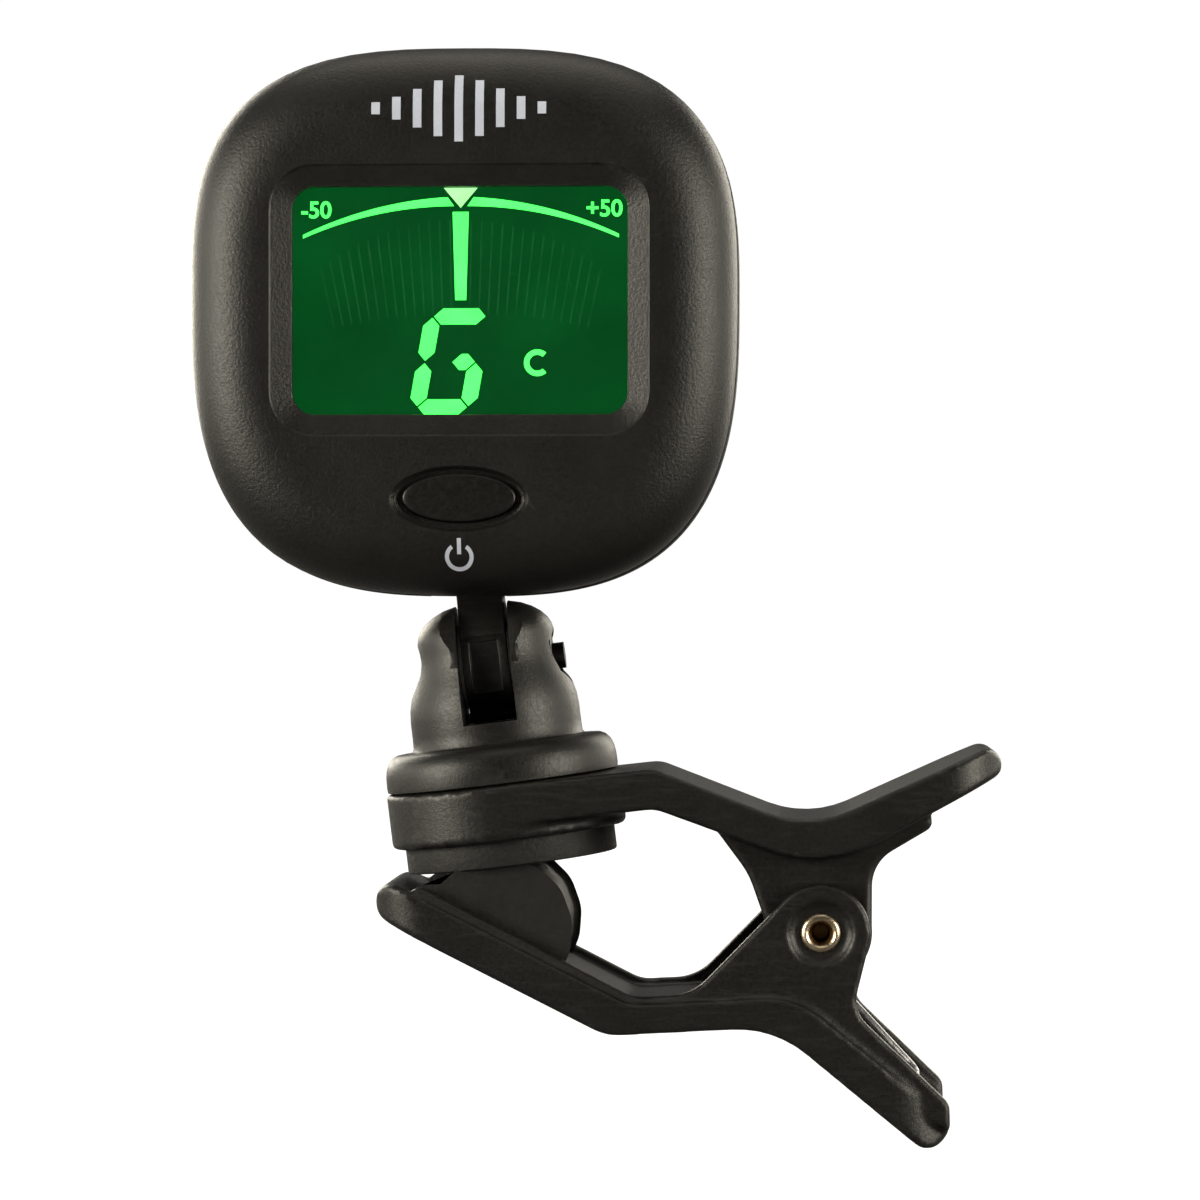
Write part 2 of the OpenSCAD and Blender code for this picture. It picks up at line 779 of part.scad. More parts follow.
module battery_cap() {
  color([0.1, 0.098, 0.095])
  at_head()
  difference() {
    union() {
      rod_y(0, cell_z, cap_d, cap_front, back - 0.05);
      rod_y(0, cell_z, plug_d, 1.95, cap_front + 0.05);
      intersection() {
        rod_y(0, cell_z, lug_d, 1.95, 2.55);
        for (a = [0, 120, 240])
          translate([0, 0, cell_z]) rotate([0, a, 0]) box(0, 14, 1, 4, -2.8, 2.8);
      }
    }
    translate([0, 0, cell_z]) slot(coin_slot_w, coin_slot_h, 4.2, 10);
  }
}

upper_arm();
upper_pad();
pivot_rivet();
torsion_spring();
lower_arm();
lower_pad();
yoke();
swivel_screw();
swivel_washer();
tilt_screw();
tilt_nut();
friction_washers();
neck();
roll_screw();
roll_washer();
front_shell();
rear_shell();
housing_screws();
display_lens();
lcd_panel();
backlight_guide();
backlight_leds();
lcd_connectors();
circuit_board();
controller_chip();
crystal();
board_parts();
tact_switch();
switch_plunger();
power_button();
sensor_plate();
sensor_ceramic();
coin_cell();
positive_contact();
negative_contact();
battery_cap();
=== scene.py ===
"""Looks for the clip on tuner. Sizes are in millimetres, and MM turns them into metres."""

import json
import math

import bmesh
import bpy
from mathutils import Matrix, Vector
from mathutils.bvhtree import BVHTree


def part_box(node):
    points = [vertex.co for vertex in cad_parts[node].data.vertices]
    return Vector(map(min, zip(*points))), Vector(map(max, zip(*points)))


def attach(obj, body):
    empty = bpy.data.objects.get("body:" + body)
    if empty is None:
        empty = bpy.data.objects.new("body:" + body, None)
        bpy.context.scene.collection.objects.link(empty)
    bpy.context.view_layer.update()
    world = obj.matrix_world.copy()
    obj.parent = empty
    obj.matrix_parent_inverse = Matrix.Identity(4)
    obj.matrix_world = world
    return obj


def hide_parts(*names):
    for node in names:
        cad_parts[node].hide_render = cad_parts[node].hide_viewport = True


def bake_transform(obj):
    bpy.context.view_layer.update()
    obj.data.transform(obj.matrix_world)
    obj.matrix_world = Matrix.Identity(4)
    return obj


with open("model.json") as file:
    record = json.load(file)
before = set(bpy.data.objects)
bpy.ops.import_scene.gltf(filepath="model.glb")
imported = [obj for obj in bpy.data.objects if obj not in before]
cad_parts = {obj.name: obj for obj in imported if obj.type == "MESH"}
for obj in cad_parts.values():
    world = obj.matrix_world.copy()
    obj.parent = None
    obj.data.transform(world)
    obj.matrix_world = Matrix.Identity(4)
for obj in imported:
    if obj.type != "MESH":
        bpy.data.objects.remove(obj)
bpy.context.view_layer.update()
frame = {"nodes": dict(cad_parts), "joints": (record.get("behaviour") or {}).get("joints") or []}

MM = 0.001
TAU = 2 * math.pi

# ---- The frame: where the head and the clip are ----

joints = {j["name"]: j for j in frame["joints"]}
CLIP_UP = Vector(joints["yoke_swivel"]["axis"])
CLIP_RIGHT = Vector(joints["neck_tilt"]["axis"])
head_low, head_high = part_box("front_shell")
HEAD = (head_low + head_high) / 2 / MM
HEAD.y = 0
HALF = (head_high.x - head_low.x) / 2 / MM
FRONT = head_low.y / MM
SEAM = head_high.y / MM
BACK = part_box("rear_shell")[1].y / MM
# The head's outline: how square it is, and how far above its centre it is widest
OUTLINE_POWER = 2.95
WIDEST = 2.45
# The shells' wall, and the front shell's rounded rim: its width, its drop, its step at the seam
WALL = 1.5
RIM = 5.6
RIM_DROP = 5.0
STEP = 0.12
FACE = FRONT + 0.02
window_low, window_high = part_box("display_lens")
LENS_FRONT = window_low.y / MM
DISPLAY_Z = (window_low.z + window_high.z) / 2 / MM - HEAD.z
# The display window's width, height and corners, and the width of its sloping frame
WINDOW_W, WINDOW_H, WINDOW_R = 25.1, 17.0, 1.7
BEVEL = 1.65
button_low, button_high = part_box("power_button")
BUTTON_Z = (button_low.z + button_high.z) / 2 / MM - HEAD.z
CELL_Z = Vector(joints["cap_turn"]["pos_m"]).z / MM - HEAD.z
TILT = Vector(joints["neck_tilt"]["pos_m"]).length / MM
PIVOT = Vector(joints["jaw_hinge"]["pos_m"]) / MM


def at_head(x, y, z):
    """A point given from the head's centre, in the row's frame."""
    return Vector((HEAD.x + x, y, HEAD.z + z)) * MM


def at_clip(u, y, v):
    """A point given along the clip's own right, back and up, in the row's frame."""
    return (CLIP_RIGHT * u + Vector((0, 1, 0)) * y + CLIP_UP * v) * MM


# ---- Mesh helpers ----

def add_mesh(name, points, faces, smooth=30):
    """A mesh object from points in metres, smooth where faces meet at less than an angle."""
    mesh = bpy.data.meshes.new(name)
    mesh.from_pydata([tuple(p) for p in points], [], faces)
    mesh.validate()
    tidy = bmesh.new()
    tidy.from_mesh(mesh)
    bmesh.ops.recalc_face_normals(tidy, faces=tidy.faces)
    tidy.to_mesh(mesh)
    tidy.free()
    piece = bpy.data.objects.new(name, mesh)
    bpy.context.scene.collection.objects.link(piece)
    smooth_by_angle(piece, smooth)
    return piece


def smooth_by_angle(piece, degrees):
    """Shades a piece smooth, but for edges sharper than an angle."""
    for face in piece.data.polygons:
        face.use_smooth = True
    piece.data.set_sharp_from_angle(angle=math.radians(degrees))


def ring_faces(count, rings, closed=False, caps=True):
    """Quads between rings of equally many points, with the ends capped or joined."""
    faces = []
    for r in range(rings if closed else rings - 1):
        a, b = r * count, ((r + 1) % rings) * count
        for i in range(count):
            j = (i + 1) % count
            faces.append((a + i, a + j, b + j, b + i))
    if caps and not closed:
        faces.append(tuple(range(count)))
        faces.append(tuple(range((rings - 1) * count, rings * count)))
    return faces


def loft(name, rings, closed=False, caps=True, smooth=30):
    """A piece whose skin runs over rings of equally many points."""
    points = [p for ring in rings for p in ring]
    faces = ring_faces(len(rings[0]), len(rings), closed, caps)
    return add_mesh(name, points, faces, smooth)


def boolean(piece, cutter, operation="DIFFERENCE"):
    """Applies a boolean, and removes the cutter."""
    step = piece.modifiers.new("boolean", "BOOLEAN")
    step.operation = operation
    step.solver = "EXACT"
    step.use_self = True
    step.object = cutter
    apply_modifiers(piece)
    bpy.data.objects.remove(cutter)


def apply_modifiers(piece):
    """Makes what a piece's modifiers show its own mesh."""
    bpy.context.view_layer.update()
    graph = bpy.context.evaluated_depsgraph_get()
    made = bpy.data.meshes.new_from_object(piece.evaluated_get(graph))
    piece.modifiers.clear()
    old = piece.data
    piece.data = made
    bpy.data.meshes.remove(old)


def soften(piece, width, segments, angle=35):
    """Rounds a piece's edges with a bevel that keeps flat faces flat."""
    step = piece.modifiers.new("round", "BEVEL")
    step.width = width * MM
    step.segments = segments
    step.limit_method = "ANGLE"
    step.angle_limit = math.radians(angle)
    step.use_clamp_overlap = True
    step.harden_normals = False
    step.miter_outer = "MITER_ARC"
    normals = piece.modifiers.new("normals", "WEIGHTED_NORMAL")
    normals.keep_sharp = True
    normals.weight = 60


def soften_node(name, width, segments):
    """Gives a CAD node rounded edges, with modifiers only."""
    node = frame["nodes"][name]
    weld = node.modifiers.new("weld", "WELD")
    weld.merge_threshold = 0.002 * MM
    flat = node.modifiers.new("flat", "DECIMATE")
    flat.decimate_type = "DISSOLVE"
    flat.angle_limit = math.radians(0.6)
    soften(node, width, segments)


def rounded_rectangle(width, height, radius):
    """Points of a rounded rectangle in X and Z, evenly spread along each side and corner."""
    per_side, per_corner = 28, 10
    points = []
    w, h = width / 2 - radius, height / 2 - radius
    corners = [(w, h, 0), (-w, h, 90), (-w, -h, 180), (w, -h, 270)]
    for k, (cx, cz, start) in enumerate(corners):
        for i in range(per_corner + 1):
            a = math.radians(start + 90 * i / per_corner)
            points.append((cx + radius * math.cos(a), cz + radius * math.sin(a)))
        nx, nz, nstart = corners[(k + 1) % 4]
        a = math.radians(nstart)
        end = (nx + radius * math.cos(a), nz + radius * math.sin(a))
        begin = points[-1]
        for i in range(1, per_side):
            t = i / per_side
            points.append((begin[0] + (end[0] - begin[0]) * t, begin[1] + (end[1] - begin[1]) * t))
    return points


def ellipse(width, height, count=72):
    """Points of an ellipse in X and Z."""
    return [(width / 2 * math.cos(TAU * i / count), height / 2 * math.sin(TAU * i / count))
            for i in range(count)]


def round_slot(width, height, count=64):
    """Points of a slot with round ends."""
    r = height / 2
    w = width / 2 - r
    points = []
    for i in range(count):
        a = TAU * (i + 0.5) / count
        points.append((math.copysign(w, math.cos(a)) + r * math.cos(a), r * math.sin(a)))
    return points


def head_point(angle, size):
    """A point of the head's outline, a squared circle that is widest above its centre."""
    c, s = math.cos(angle), math.sin(angle)
    r = 1 / (abs(c) ** OUTLINE_POWER + abs(s) ** OUTLINE_POWER) ** (1 / OUTLINE_POWER)
    rise = size - WIDEST if s > 0 else size + WIDEST
    return (size * r * c, WIDEST + rise * r * s)


def outline_ring(angles, size, y):
    """The head's outline at a size, as a ring."""
    return [at_head(x, y, z) for x, z in (head_point(a, size) for a in angles)]


def round_ring(x, z, radius, y, count):
    """A circle about a point of the head, as a ring."""
    return [at_head(x + radius * math.cos(TAU * i / count), y, z + radius * math.sin(TAU * i / count))
            for i in range(count)]


def mix(p, q, t):
    """The point a share t of the way from p to q."""
    return tuple(a + (b - a) * t for a, b in zip(p, q))


def revolve(name, profile, place, count):
    """Turns a profile of (radius, height) about an axis. place(x, y, h) puts it in the frame."""
    rings = []
    for r, h in profile:
        ring = [place(r * math.cos(TAU * i / count), r * math.sin(TAU * i / count), h)
                for i in range(count)]
        rings.append(ring)
    return loft(name, rings)


def rounded_outline(corners, step=6):
    """A closed outline through (x, z, radius) corners, with arcs at the corners."""
    points = []
    for i, (x, z, radius) in enumerate(corners):
        b = Vector((x, z))
        a = Vector(corners[i - 1][:2])
        c = Vector(corners[(i + 1) % len(corners)][:2])
        if radius <= 0:
            points.append((b.x, b.y))
            continue
        u, w = (a - b).normalized(), (c - b).normalized()
        half = u.angle(w) / 2
        centre = b + (u + w).normalized() * radius / math.sin(half)
        p, q = b + u * radius / math.tan(half) - centre, b + w * radius / math.tan(half) - centre
        start = math.atan2(p.y, p.x)
        turn = (math.atan2(q.y, q.x) - start + 3 * math.pi) % TAU - math.pi
        count = max(2, math.ceil(abs(math.degrees(turn)) / step))
        for k in range(count + 1):
            angle = start + turn * k / count
            points.append((centre.x + radius * math.cos(angle), centre.y + radius * math.sin(angle)))
    return points


# ---- Materials ----

def new_material(name):
    """A material, its nodes and links, and its shader."""
    made = bpy.data.materials.new(name)
    made.use_nodes = True
    nodes = made.node_tree.nodes
    shader = nodes["Principled BSDF"]
    return made, nodes, made.node_tree.links, shader


def noise(nodes, links, scale, detail=4, rough=0.55):
    """Noise fixed to the piece. scale is the number of features in a millimetre."""
    place = nodes.new("ShaderNodeTexCoord")
    made = nodes.new("ShaderNodeTexNoise")
    made.inputs["Scale"].default_value = scale / MM
    made.inputs["Detail"].default_value = detail
    made.inputs["Roughness"].default_value = rough
    links.new(place.outputs["Object"], made.inputs["Vector"])
    return made.outputs["Fac"]


def spread(nodes, links, value, low, high, start=0.3, end=0.7):
    """Turns a value from 0 to 1 into a number between low and high."""
    made = nodes.new("ShaderNodeMapRange")
    made.inputs["From Min"].default_value = start
    made.inputs["From Max"].default_value = end
    made.inputs["To Min"].default_value = low
    made.inputs["To Max"].default_value = high
    links.new(value, made.inputs["Value"])
    return made.outputs["Result"]


def tint(nodes, links, value, dark, light):
    """Mixes two colours by a value."""
    made = nodes.new("ShaderNodeMix")
    made.data_type = "RGBA"
    made.inputs[6].default_value = (*dark, 1)
    made.inputs[7].default_value = (*light, 1)
    links.new(value, made.inputs[0])
    return made.outputs[2]


def edges(nodes, links):
    """How far a place is a raised edge, from 0 to 1."""
    place = nodes.new("ShaderNodeNewGeometry")
    return spread(nodes, links, place.outputs["Pointiness"], 0, 1, 0.52, 0.6)


def bump(nodes, links, shader, value, strength, height):
    """Raises a shader's surface by a value. The height is in millimetres."""
    made = nodes.new("ShaderNodeBump")
    made.inputs["Strength"].default_value = strength
    made.inputs["Distance"].default_value = height * MM
    links.new(value, made.inputs["Height"])
    links.new(made.outputs["Normal"], shader.inputs["Normal"])


def streaks(nodes, links):
    """Long uneven marks, as handling leaves on dark plastic, from 0 to 1."""
    place = nodes.new("ShaderNodeTexCoord")
    turn = nodes.new("ShaderNodeMapping")
    turn.inputs["Rotation"].default_value = (0.2, 0.55, 0.1)
    turn.inputs["Scale"].default_value = (0.25, 0.7, 1.8)
    made = nodes.new("ShaderNodeTexNoise")
    made.inputs["Scale"].default_value = 1.1 / MM
    made.inputs["Detail"].default_value = 6
    made.inputs["Distortion"].default_value = 1.2
    links.new(place.outputs["Object"], turn.inputs["Vector"])
    links.new(turn.outputs["Vector"], made.inputs["Vector"])
    return spread(nodes, links, made.outputs["Fac"], 0, 1, 0.52, 0.72)


def rubbed(nodes, links, colour, place, amount, light):
    """Lightens a colour where a place is rubbed, by an amount."""
    rub = nodes.new("ShaderNodeMix")
    rub.data_type = "RGBA"
    rub.inputs[7].default_value = (*(c * (1 + amount) + 0.008 * amount for c in light), 1)
    links.new(colour, rub.inputs[6])
    links.new(place, rub.inputs[0])
    return rub.outputs[2]


def moulded(name, dark, light, rough, grain=5.0, height=0.02, strength=0.35, wear=0.0, scuffs=0.0):
    """Moulded plastic or rubber: fine grain and speckle, faint mottling, rubbed edges, scuffs."""
    made, nodes, links, shader = new_material(name)
    patches = noise(nodes, links, 0.25)
    fine = noise(nodes, links, grain, 6, 0.6)
    both = nodes.new("ShaderNodeMath")
    both.operation = "ADD"
    links.new(patches, both.inputs[0])
    links.new(fine, both.inputs[1])
    colour = tint(nodes, links, spread(nodes, links, both.outputs[0], 0, 1, 0.8, 1.2), dark, light)
    if wear:
        colour = rubbed(nodes, links, colour, edges(nodes, links), wear, light)
    if scuffs:
        colour = rubbed(nodes, links, colour, streaks(nodes, links), scuffs, light)
    links.new(colour, shader.inputs["Base Color"])
    links.new(spread(nodes, links, fine, rough - 0.06, rough + 0.08), shader.inputs["Roughness"])
    bump(nodes, links, shader, fine, strength, height)
    shader.inputs["Specular IOR Level"].default_value = 0.32
    return made


def metal(name, dark, light, rough, grain=3.0, height=0.004):
    """Metal with a fine grain and a little tarnish."""
    made, nodes, links, shader = new_material(name)
    shader.inputs["Metallic"].default_value = 1
    patches = noise(nodes, links, 0.8)
    fine = noise(nodes, links, grain, 8, 0.65)
    links.new(tint(nodes, links, spread(nodes, links, patches, 0, 1), dark, light),
              shader.inputs["Base Color"])
    links.new(spread(nodes, links, fine, rough - 0.06, rough + 0.1), shader.inputs["Roughness"])
    bump(nodes, links, shader, fine, 0.2, height)
    return made


def clear(name, colour, rough):
    """Clear moulded plastic."""
    made, nodes, links, shader = new_material(name)
    shader.inputs["Base Color"].default_value = (*colour, 1)
    shader.inputs["Transmission Weight"].default_value = 1
    shader.inputs["IOR"].default_value = 1.4
    fine = noise(nodes, links, 0.6)
    links.new(spread(nodes, links, fine, rough * 0.6, rough * 1.4), shader.inputs["Roughness"])
    return made


def glowing(name, dark, light, low, high, scale=0.12):
    """A lit surface, uneven as a backlight is."""
    made, nodes, links, shader = new_material(name)
    patches = noise(nodes, links, scale, 2)
    colour = tint(nodes, links, spread(nodes, links, patches, 0, 1), dark, light)
    shader.inputs["Base Color"].default_value = (0.002, 0.006, 0.003, 1)
    links.new(colour, shader.inputs["Emission Color"])
    links.new(spread(nodes, links, patches, low, high), shader.inputs["Emission Strength"])
    shader.inputs["Specular IOR Level"].default_value = 0.05
    shader.inputs["Roughness"].default_value = 0.4
    return made


def dress(piece, made):
    """Gives a piece its material."""
    piece.data.materials.clear()
    piece.data.materials.append(made)
    return piece


def dress_nodes(made, *names):
    """Gives CAD nodes their material."""
    for name in names:
        for slot in frame["nodes"][name].material_slots:
            slot.material = made


SHELL = moulded("shell plastic", (0.004, 0.0038, 0.0034), (0.0075, 0.0072, 0.0065), 0.4, 4.2,
                0.06, 0.8, 0.4)
ARM = moulded("arm plastic", (0.0036, 0.0034, 0.003), (0.0066, 0.0064, 0.0059), 0.42, 4.0,
              0.04, 0.6, 0.6, 0.3)
YOKE = moulded("yoke plastic", (0.0036, 0.0034, 0.003), (0.0068, 0.0066, 0.006), 0.42, 4.0,
               0.04, 0.6, 0.5, 0.2)
JAW = moulded("jaw rubber", (0.0024, 0.0022, 0.0019), (0.0066, 0.0063, 0.0056), 0.62, 2.6, 0.08, 0.9)
BUTTON = moulded("button rubber", (0.0036, 0.0034, 0.003), (0.0054, 0.0052, 0.0046), 0.38, 4.0,
                 0.02, 0.3)
BRASS = metal("brass", (0.62, 0.4, 0.16), (0.85, 0.66, 0.36), 0.2)
PLATED = metal("plated brass", (0.42, 0.33, 0.22), (0.66, 0.56, 0.42), 0.28)
# Dark brown brass for the cup in the rivet's bore: painted shade for the dark inside the hole, not
# tarnish.
BORE_SHADE = metal("brass painted with bore shade", (0.09, 0.045, 0.015), (0.22, 0.12, 0.045), 0.4)
STEEL = metal("steel", (0.5, 0.5, 0.51), (0.66, 0.66, 0.67), 0.28)
BLACK_STEEL = metal("blackened steel", (0.03, 0.03, 0.03), (0.07, 0.068, 0.065), 0.35)
SPRING = metal("spring steel", (0.2, 0.2, 0.21), (0.34, 0.34, 0.35), 0.34)
WHITE = moulded("white plastic", (0.62, 0.61, 0.58), (0.72, 0.71, 0.68), 0.4)
BOARD = moulded("solder mask", (0.008, 0.09, 0.035), (0.012, 0.13, 0.05), 0.35, 1.0)
CHIP = moulded("chip plastic", (0.012, 0.012, 0.013), (0.02, 0.02, 0.021), 0.6, 8.0)
TIN = metal("tin", (0.62, 0.62, 0.63), (0.75, 0.75, 0.76), 0.25)
CERAMIC = moulded("ceramic", (0.6, 0.57, 0.5), (0.7, 0.67, 0.6), 0.35, 2.0)
STRIP = moulded("connector rubber", (0.2, 0.1, 0.13), (0.3, 0.16, 0.2), 0.7, 4.0)
LENS = clear("lens plastic", (0.97, 1.0, 0.98), 0.02)
PANEL = glowing("display background", (0.0, 0.062, 0.009), (0.0005, 0.076, 0.012), 0.9, 1.1)
SEGMENT = glowing("display segment", (0.045, 0.86, 0.075), (0.055, 0.95, 0.09), 3.0, 3.3, 0.3)
BRIGHT = glowing("display glow", (0.25, 0.95, 0.22), (0.4, 1.0, 0.36), 1.5, 1.7, 0.2)
GHOST = glowing("resting segment", (0.004, 0.082, 0.016), (0.008, 0.105, 0.024), 0.95, 1.15, 0.6)
GUIDE = glowing("light guide", (0.1, 0.5, 0.2), (0.15, 0.6, 0.25), 0.4, 0.6)
PRINT = moulded("print", (0.4, 0.43, 0.52), (0.46, 0.5, 0.6), 0.5, 8.0, 0.004)


# ---- Head ----

def dome(inset, width, height):
    """How far a rounded rim has dropped at a distance inside the outline."""
    t = max(0.0, (width - inset) / width)
    return height * (1 - math.sqrt(max(0.0, 1 - t ** 2.1)))


def rim_drop(x, z):
    """How far behind the flat of the face the rounded rim lies, at a point of the head."""
    low, high = 0.0, HALF
    angle = math.atan2(z - WIDEST, x)
    for _ in range(40):
        size = (low + high) / 2
        edge = Vector(head_point(angle, size)) - Vector((0, WIDEST))
        if edge.length < Vector((x, z - WIDEST)).length:
            low = size
        else:
            high = size
    return dome(HALF - STEP - low, RIM - STEP, RIM_DROP)


def front_shell():
    """Front shell: a flat face with a rounded rim, a sloping display frame and a window."""
    inner = rounded_rectangle(WINDOW_W, WINDOW_H, WINDOW_R)
    angles = [math.atan2(z + DISPLAY_Z - WIDEST, x) for x, z in inner]

    def window_ring(grow, y):
        """The window's outline, grown by a distance."""
        shape = rounded_rectangle(WINDOW_W + 2 * grow, WINDOW_H + 2 * grow, WINDOW_R + grow)
        return [at_head(x, y, z + DISPLAY_Z) for x, z in shape]

    def outer_ring(size, y):
        return outline_ring(angles, size, y)

    def face_ring(t):
        """Between the display frame and the rim, at the rim when t is 1."""
        shape = rounded_rectangle(WINDOW_W + 2 * BEVEL, WINDOW_H + 2 * BEVEL, WINDOW_R + BEVEL)
        ring = []
        for (x, z), a in zip(shape, angles):
            p = mix((x, z + DISPLAY_Z), head_point(a, HALF - RIM), t)
            ring.append(at_head(p[0], FACE, p[1]))
        return ring

    # The window's edge, the frame's slope and the flat of the face
    rings = [window_ring(0, LENS_FRONT - 0.02), window_ring(0, FRONT + 0.8),
             window_ring(0.05, FRONT + 0.72)]
    for t in (0.3, 0.6, 0.85):
        rings.append(window_ring(0.05 + (BEVEL - 0.18) * t, FRONT + 0.72 - 0.58 * t))
    rings.append(window_ring(BEVEL - 0.13, FRONT + 0.14))
    rings.append(window_ring(BEVEL - 0.06, FRONT + 0.06))
    for t in (0.0, 0.08, 0.35, 0.7):
        rings.append(face_ring(t))
    # The rounded rim, the side, the seam and the inside
    steps = 22
    for i in range(steps + 1):
        inset = STEP + (RIM - STEP) * (1 - math.sin(math.pi / 2 * i / steps))
        rings.append(outer_ring(HALF - inset, FACE + dome(inset - STEP, RIM - STEP, RIM_DROP)))
    rings += [outer_ring(HALF - STEP, SEAM - 1.2), outer_ring(HALF - STEP, SEAM - 0.22),
              outer_ring(HALF - STEP - 0.05, SEAM - 0.12), outer_ring(HALF - 0.4, SEAM - 0.06)]
    rings += [outer_ring(HALF - WALL, SEAM - 0.06), outer_ring(HALF - WALL - 0.3, FRONT + 4),
              outer_ring(HALF - 5, LENS_FRONT + 0.85), window_ring(0.85, LENS_FRONT + 0.85),
              window_ring(0.85, LENS_FRONT - 0.02)]
    shell = loft("front_shell_skin", rings, closed=True, caps=False)
    boolean(shell, button_well())
    smooth_by_angle(shell, 24)
    dress(shell, SHELL)
    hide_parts("front_shell")
    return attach(shell, "head")


def button_well():
    """Cutter for the dished well around the button, and the hole in its floor."""
    width, height = 10.2, 4.87
    rings = []
    for grow, y in ((0.55, FRONT - 0.4), (0.12, FRONT - 0.02), (0.0, FRONT + 0.1), (-0.25, FRONT + 0.42),
                    (-0.5, FRONT + 0.55), (-0.78, FRONT + 0.6), (-0.84, FRONT + 0.66),
                    (-0.86, LENS_FRONT + 2)):
        shape = ellipse(width + 2 * grow, height + 2 * grow * 0.8)
        rings.append([at_head(x, y, z + BUTTON_Z - 0.1) for x, z in shape])
    return loft("well_cutter", rings)


def rear_shell():
    """Rear shell: rounded rim, flat back, a round seat for the battery cap and screw wells."""
    rim, drop, seat = 4.4, 3.6, 12.15
    count = 240
    angles = [TAU * i / count for i in range(count)]

    def outer_ring(size, y):
        return outline_ring(angles, size, y)

    def cap_ring(radius, y):
        return round_ring(0, CELL_Z, radius, y, count)

    def back_ring(t):
        """Between the rounded rim and the cap's seat, at the seat when t is 1."""
        ring = []
        for a in angles:
            circle = (seat * math.cos(a), CELL_Z + seat * math.sin(a))
            p = mix(head_point(a, HALF - rim), circle, t)
            ring.append(at_head(p[0], BACK - 0.02, p[1]))
        return ring

    # The seam, the side and the rounded rim
    rings = [outer_ring(HALF - WALL, SEAM + 0.06), outer_ring(HALF - 0.2, SEAM + 0.06),
             outer_ring(HALF - 0.05, SEAM + 0.12), outer_ring(HALF, SEAM + 0.22),
             outer_ring(HALF, SEAM + 2)]
    steps = 18
    for i in range(steps + 1):
        inset = rim * (1 - math.cos(math.pi / 2 * i / steps))
        rings.append(outer_ring(HALF - inset, BACK - 0.02 - dome(inset, rim, drop)))
    # The flat of the back, the cap's seat and the inside
    rings += [back_ring(t) for t in (0.35, 0.75, 0.97)]
    rings += [cap_ring(12.08, BACK - 0.04), cap_ring(12.0, BACK - 0.14), cap_ring(11.97, 3.62),
              cap_ring(10.6, 3.62), cap_ring(10.5, 3.5), cap_ring(10.5, 2.6), cap_ring(12.6, 2.6),
              outer_ring(HALF - 6, 3.3), outer_ring(HALF - WALL, 1.2)]
    shell = loft("rear_shell_skin", rings, closed=True, caps=False)
    boolean(shell, join([screw_well(x, z) for x, z in screw_places()] + [neck_slot()]))
    shell = join([shell] + [screw_post(x, z) for x, z in screw_places()])
    smooth_by_angle(shell, 24)
    dress(shell, SHELL)
    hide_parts("rear_shell")
    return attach(shell, "head")


def screw_places():
    """The corners where the housing screws are, from the head's centre."""
    low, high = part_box("housing_screws")
    reach = (high.x - low.x) / 2 / MM - 1.6
    return [(x, z) for x in (-reach, reach) for z in (-reach, reach)]


def screw_post(x, z):
    """The hollow post around a housing screw, inside the rear shell."""
    shape = ((2.2, SEAM + 0.1), (2.2, 3.75), (1.8, 3.75), (1.8, 2.12), (0.95, 2.12), (0.95, SEAM + 0.1))
    return loft("screw_post", [round_ring(x, z, r, y, 40) for r, y in shape], closed=True, caps=False)


def screw_well(x, z):
    """Cutter for the mouth of a screw's well."""
    shape = ((1.8, SEAM + 2), (1.8, 4.3), (1.95, 4.75), (2.6, 6))
    return loft("well", [round_ring(x, z, r, y, 40) for r, y in shape])


def join(pieces):
    """Makes one piece of several meshes, without merging them."""
    first = pieces[0]
    merged = bmesh.new()
    for piece in pieces:
        merged.from_mesh(piece.data)
    merged.to_mesh(first.data)
    merged.free()
    for piece in pieces[1:]:
        bpy.data.objects.remove(piece)
    return first


def neck_slot():
    """Cutter for the slot in the head's lower edge, in which the neck swings."""
    outline = rounded_outline([(-3, -17, 0.5), (3, -17, 0.5), (3, -24, 0), (-3, -24, 0)])
    return loft("slot", [[at_head(x, y, z) for x, z in outline] for y in (SEAM - 1, 1.75)])


def power_button():
    """An elliptical rubber button with a flat, softly edged top and a flange behind the shell."""
    width, height = 8.5, 3.6
    rings = []
    for grow, y in ((0.5, -7.4), (0.5, -7.85), (0.0, -7.9), (0.0, -9.7), (-0.03, -9.79),
                    (-0.1, -9.86), (-0.2, -9.89), (-0.5, -9.91), (-1.0, -9.92)):
        shape = ellipse(width + 2 * grow, height + 2 * grow)
        rings.append([at_head(x, y, z + BUTTON_Z) for x, z in shape])
    button = loft("power_button_cap", rings, smooth=40)
    dress(button, BUTTON)
    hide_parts("power_button")
    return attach(button, "button")


def battery_cap():
    """A round cap with a coin slot, a finger chamfer and a round plug."""
    profile = [(9.2, 1.97), (10.4, 1.97), (10.4, 3.6), (11.7, 3.68), (11.88, 3.8), (11.88, 4.7),
               (11.8, 4.86), (11.62, 4.94), (9.9, 4.94), (9.75, 4.88), (9.6, 4.72), (9.45, 4.68),
               (0.01, 4.68)]
    cap = revolve("battery_cap_disc", profile, lambda x, z, y: at_head(x, y, z + CELL_Z), 144)
    rings = []
    for grow, y in ((0, 4.0), (0, 4.55), (0.12, 4.7), (0.3, 5.4)):
        shape = round_slot(14 + 2 * grow, 1.7 + 2 * grow)
        rings.append([at_head(x, y, z + CELL_Z) for x, z in shape])
    boolean(cap, loft("coin_slot", rings))
    smooth_by_angle(cap, 30)
    dress(cap, SHELL)
    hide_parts("battery_cap")
    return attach(cap, "battery_cap")


# ---- Display ----

